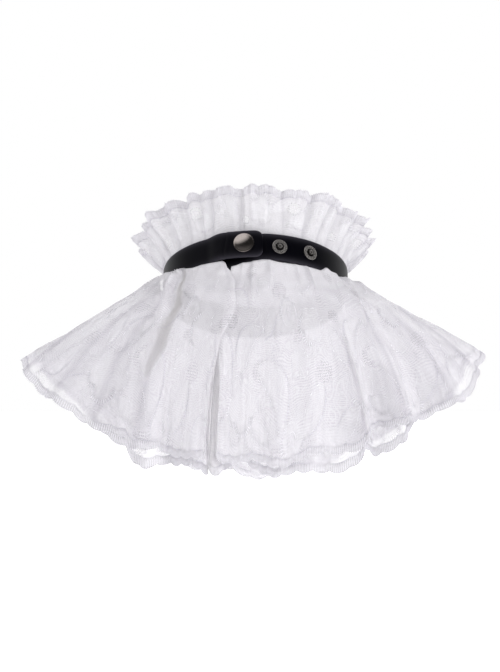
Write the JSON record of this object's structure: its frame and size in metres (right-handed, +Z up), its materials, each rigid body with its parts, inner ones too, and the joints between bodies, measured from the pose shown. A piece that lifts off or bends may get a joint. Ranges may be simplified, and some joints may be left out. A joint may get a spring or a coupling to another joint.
{
  "type": "lace collar",
  "caption": "Costume lace collar, held open as if worn: a standing ruffle and a long falling ruffle on a smooth neck strap that closes with a snap at the nape.",
  "frame": {"origin": "centre of the neck strap's ring, which the neck fills", "axes": "+Z up, +Y towards the throat, -Y towards the nape with its snap closure, +X towards the wearer's right; the strap's ring leans forward about X"},
  "size_m": [0.2997, 0.2375, 0.1911],
  "materials": {
    "lace": "off-white cotton lace with dense flower work, fine net and scalloped edges",
    "strap": "smooth black imitation leather with a soft sheen",
    "band": "black woven tape",
    "metal": "polished nickel"
  },
  "bodies": {
    "root": {"base_band": "band", "neck_strap": "strap", "standing_ruffle": "lace", "fall_upper_tier": "lace", "fall_under_tier": "lace", "snap_cap": "metal", "snap_socket": "metal", "snap_stud_closed": "metal", "snap_stud_middle": "metal", "snap_stud_outer": "metal"}
  },
  "joints": []
}
